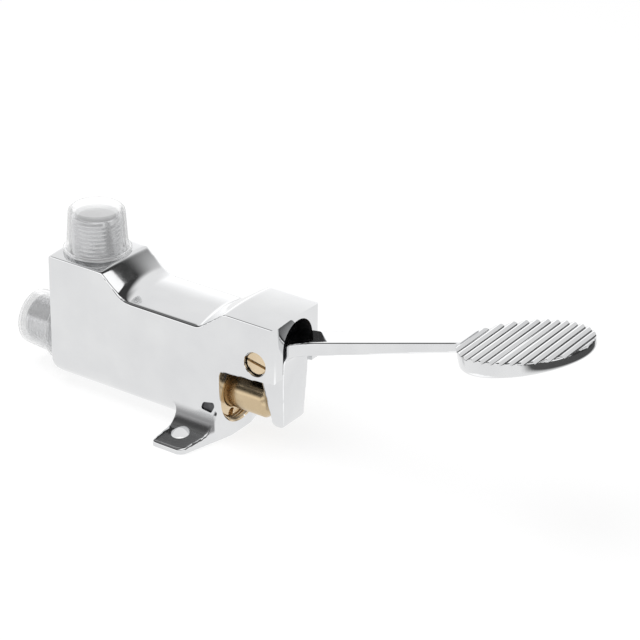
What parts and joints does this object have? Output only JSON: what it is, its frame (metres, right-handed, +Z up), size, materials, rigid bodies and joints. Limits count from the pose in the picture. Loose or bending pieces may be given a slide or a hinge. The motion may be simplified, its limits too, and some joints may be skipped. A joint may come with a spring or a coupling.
{
  "type": "foot pedal tap valve",
  "caption": "Floor-mounted tap valve: a chromed pedal lever swings on a brass pivot screw and pushes a plunger that opens the way from the back inlet to the top outlet.",
  "frame": {"origin": "on the floor, midway between the two holes of the floor flange", "axes": "+X from the inlet towards the pedal, +Y to the side away from the pivot screw's head, +Z up"},
  "size_m": [0.2634, 0.064, 0.086],
  "materials": {
    "cast_chrome": "polished chrome on zinc casting",
    "turned_brass": "turned brass",
    "seal_rubber": "matt black rubber",
    "stainless_steel": "drawn stainless steel",
    "cap_plastic": "translucent milky polyethylene"
  },
  "bodies": {
    "housing": {"valve_body": "cast_chrome", "outlet_nipple": "cast_chrome", "inlet_nipple": "cast_chrome", "pivot_screw": "turned_brass", "gland_nut": "turned_brass", "core_gasket": "seal_rubber", "valve_core": "turned_brass", "core_o_ring": "seal_rubber", "return_spring": "stainless_steel"},
    "lever": {"pedal_lever": "cast_chrome"},
    "push_rod": {"plunger": "turned_brass", "plunger_o_rings": "seal_rubber", "valve_stem": "stainless_steel", "seal_disc": "seal_rubber", "disc_cup": "turned_brass", "disc_nut": "turned_brass"},
    "outlet_cover": {"outlet_cap": "cap_plastic"},
    "inlet_cover": {"inlet_cap": "cap_plastic"}
  },
  "joints": [
    {"name": "pedal_hinge", "type": "hinge", "parent": "housing", "child": "lever", "pos_m": [0.0316, 0, 0.0417], "axis": [0, 1, 0], "range_deg": [0, 13], "stiffness_Nm_per_rad": 4, "springref_deg": -20.05},
    {"name": "plunger_slide", "type": "slide", "parent": "housing", "child": "push_rod", "axis": [-1, 0, 0], "range_m": [0, 0.0038], "deforming": ["return_spring"]},
    {"name": "outlet_cap_lift", "type": "slide", "parent": "housing", "child": "outlet_cover", "axis": [0, 0, 1], "range_m": [0, 0.025]},
    {"name": "inlet_cap_pull", "type": "slide", "parent": "housing", "child": "inlet_cover", "axis": [-1, 0, 0], "range_m": [0, 0.025]}
  ],
  "couplings": [
    {"joint": "plunger_slide", "follows": "pedal_hinge", "m_per_rad": 0.0167}
  ]
}
